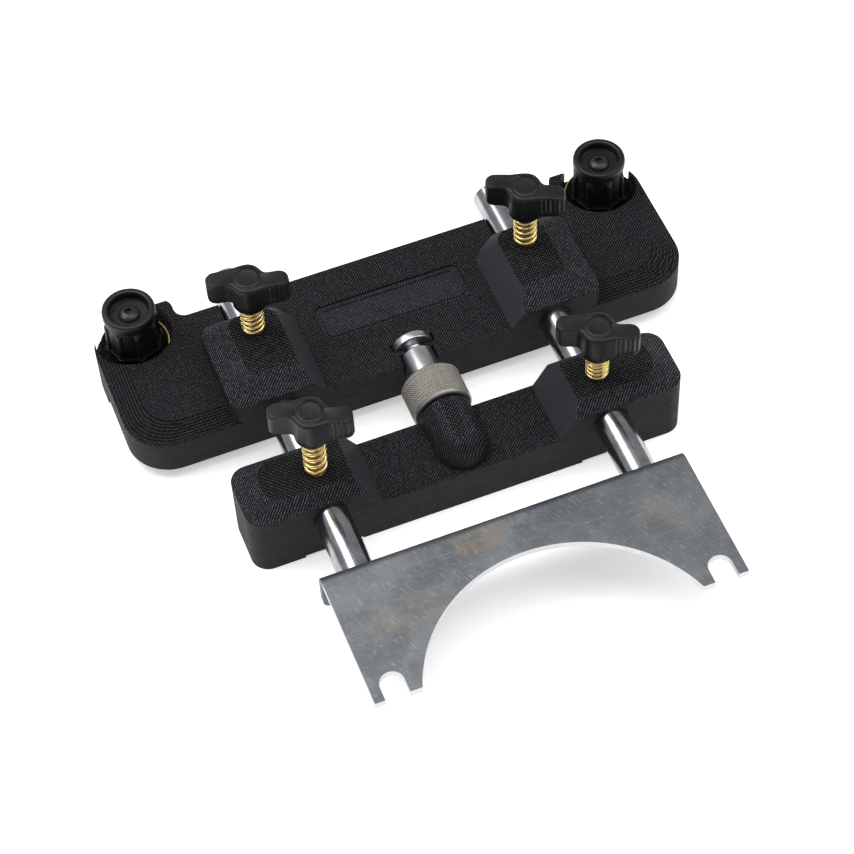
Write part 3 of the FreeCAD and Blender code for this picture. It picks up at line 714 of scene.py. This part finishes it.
def guideRod(side, material):
    node = "guide_rod_" + side
    low, high = nodeBox(node)
    middle, radius, end = (low + high) / 2, (high.x - low.x) / 2, high.y
    profile = [
        (2.0, end - 1.2), (2.6, end), (radius - 0.75, end), (radius - 0.1, end - 0.6), (radius, end - 0.85)]
    start, finish, count = end - 0.9, low.y + 0.4, 24
    profile += [(radius, start + (finish - start) * i / count) for i in range(count + 1)]
    profile += [(radius - 0.3, low.y), (3.0, low.y)]
    verts, faces = skin(turned(profile, 128, (middle.x, 0, middle.z), "y"))
    makePiece("rod_" + side, verts, faces, material, "rods", node, 34)


bead = {
    "inset": 1.75, "width": 0.7, "rise": 0.5, "corner": 1.6,
    "panel": (52.0, 15.0), "centre": -16.8, "floor": 19.2,
}


def panelBead(material):
    # a low bead inside the edge of the blank panel
    halfX, halfY = bead["panel"][0] / 2 - bead["inset"], bead["panel"][1] / 2 - bead["inset"]
    corner, width, rise = bead["corner"], bead["width"], bead["rise"]
    cornerX, cornerY = halfX - corner, halfY - corner
    section = [(-0.5, -0.1), (-0.5, 0.35), (-0.3, 0.9), (0.0, 1.0), (0.3, 0.9), (0.5, 0.35), (0.5, -0.1)]
    rings = []
    for quarter, (signX, signY) in enumerate(((1, 1), (-1, 1), (-1, -1), (1, -1))):
        centreX, centreY = signX * cornerX, bead["centre"] + signY * cornerY
        for step in range(9):
            angle = math.radians(90 * quarter + 90 * step / 8)
            outX, outY = math.cos(angle), math.sin(angle)
            reaches = [(corner + across * width, bead["floor"] + up * rise) for across, up in section]
            rings.append([(centreX + outX * reach, centreY + outY * reach, z) for reach, z in reaches])
    verts, faces = skin(rings + [rings[0]], False)
    makePiece("panel_bead", verts, faces, material, "shoe", None, 60)


finishes = {
    "shoe": printedPlastic("printedShoe", 30.3, True),
    "block": printedPlastic("printedBlock", 29.0, False),
    "knob": mouldedPlastic("knobPlastic", (0.0025, 0.0026, 0.0032), (0.0062, 0.0064, 0.0074), 0.42),
    "cam": mouldedPlastic("camPlastic", (0.03, 0.03, 0.032), (0.045, 0.045, 0.048), 0.45),
    "rod": turnedMetal("rodSteel", (0.43, 0.44, 0.46), (0.3, 0.31, 0.33), 0.17, 6.0, 0.003),
    "spindle": turnedMetal("turnedSteel", (0.62, 0.63, 0.65), (0.46, 0.47, 0.5), 0.27, 11.0, 0.006),
    "zinc": turnedMetal("zincSteel", (0.62, 0.63, 0.65), (0.5, 0.51, 0.54), 0.3, 8.0, 0.01, "z"),
    "blackScrew": mouldedPlastic("blackOxide", (0.012, 0.012, 0.013), (0.022, 0.022, 0.024), 0.28, 0.006),
    "wheel": knurledMetal("knurledSteel"),
    "sheet": sheetSteel("sheetSteel"),
    "washer": washerMetal("washerBrass"),
    "brass": brassMetal("turnedBrass", (0.72, 0.53, 0.2), (0.55, 0.38, 0.13), 0.22),
    "spring": brassMetal("springBrass", (0.93, 0.72, 0.32), (0.8, 0.58, 0.22), 0.16),
}
print("finishes made:", len(finishes))

nodeFinish = {
    "rail_shoe": "shoe", "clamp_block": "block", "router_bracket": "sheet", "rod_end_screws": "blackScrew",
    "adjuster_nut": "brass",
}
for side in sides:
    for part, finish in (("play_cam_", "cam"), ("play_nut_", "zinc"), ("play_washer_", "washer")):
        nodeFinish[part + side] = finish
for place in places:
    for part, finish in (("clamp_stud_", "zinc"), ("clamp_tip_", "brass"), ("clamp_insert_", "brass")):
        nodeFinish[part + place] = finish
for node, finish in nodeFinish.items():
    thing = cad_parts[node]
    thing.data.materials.clear()
    thing.data.materials.append(finishes[finish])
print("finishes given to", len(nodeFinish), "nodes")

knurledWheel(finishes["wheel"])
turnedSpindle(finishes["spindle"])
for place in places:
    wingKnob(place, finishes["knob"])
    clampSpring(place, finishes["spring"])
for side in sides:
    starKnob(side, finishes["knob"])
    domeScrew(side, finishes["blackScrew"])
    guideRod(side, finishes["rod"])
panelBead(finishes["shoe"])
print("pieces made again in detail")


studio = {
    "floorColour": (0.93, 0.93, 0.93), "floorHalf": 3000, "floorLevel": -0.02, "world": 0.38,
    "key": {"at": (-0.55, 0.35, 1.05), "size": (0.9, 0.7), "power": 9.0},
    "fill": {"at": (0.75, -0.35, 0.9), "size": (0.8, 0.8), "power": 4.0},
    "top": {"at": (0.05, -0.05, 1.3), "size": (1.0, 0.8), "power": 6.0},
}


def floorPlate():
    paint = Paint("paperFloor", Specular_IOR_Level=0.0, Emission_Color=(1, 1, 1, 1), Emission_Strength=0.45)
    grain = paint.noise(0.02, 3)
    pale = studio["floorColour"]
    colour = paint.mix(grain.fade(0.3, 0.7), pale, [part * 0.985 for part in pale])
    material = paint.finish(Base_Color=colour, Roughness=grain * 0.1 + 0.85)
    half, level = studio["floorHalf"], studio["floorLevel"]
    mesh = bpy.data.meshes.new("paper_floor")
    corners = [(-half, -half), (half, -half), (half, half), (-half, half)]
    mesh.from_pydata([Vector((x, y, level)) * mm for x, y in corners], [], [(0, 1, 2, 3)])
    mesh.materials.append(material)
    plate = bpy.data.objects.new("paper_floor", mesh)
    bpy.context.scene.collection.objects.link(plate)


def softLight(name, settings, target=(0.0, -0.07, 0.0)):
    lamp = bpy.data.lights.new(name, "AREA")
    lamp.shape = "RECTANGLE"
    lamp.size, lamp.size_y = settings["size"]
    lamp.energy = settings["power"]
    holder = bpy.data.objects.new(name, lamp)
    holder.location = settings["at"]
    aim = Vector(target) - Vector(settings["at"])
    holder.rotation_euler = aim.to_track_quat("-Z", "Y").to_euler()
    bpy.context.scene.collection.objects.link(holder)


def studioWorld():
    world = bpy.data.worlds.new("studio")
    world.use_nodes = True
    background = world.node_tree.nodes["Background"]
    background.inputs["Color"].default_value = (1, 1, 1, 1)
    background.inputs["Strength"].default_value = studio["world"]
    bpy.context.scene.world = world


view = {
    "azimuth": 18.71, "elevation": 54.03, "roll": -3.31, "distance": 850.0, "lens": 109.48,
    "target": (-7.7, -68.78, 18.0),
}


def placeCamera():
    az, el, roll = (math.radians(view[key]) for key in ("azimuth", "elevation", "roll"))
    right = Vector((math.cos(az), -math.sin(az), 0))
    forward = Vector((math.sin(az) * math.cos(el), math.cos(az) * math.cos(el), -math.sin(el)))
    up = right.cross(forward)
    tiltedRight = math.cos(roll) * right + math.sin(roll) * up
    tiltedUp = -math.sin(roll) * right + math.cos(roll) * up
    lens = bpy.data.cameras.new("camera")
    lens.lens = view["lens"]
    lens.sensor_width = 36.0
    lens.clip_start, lens.clip_end = 0.01, 20.0
    camera = bpy.data.objects.new("camera", lens)
    at = (Vector(view["target"]) - forward * view["distance"]) * mm
    turn = Matrix((tiltedRight, tiltedUp, -forward)).transposed().to_4x4()
    camera.matrix_world = Matrix.Translation(at) @ turn
    bpy.context.scene.collection.objects.link(camera)
    bpy.context.scene.camera = camera


bpy.context.scene.view_settings.view_transform = "Standard"
floorPlate()
for name in ("key", "fill", "top"):
    softLight(name, studio[name])
studioWorld()
placeCamera()
print("studio ready")
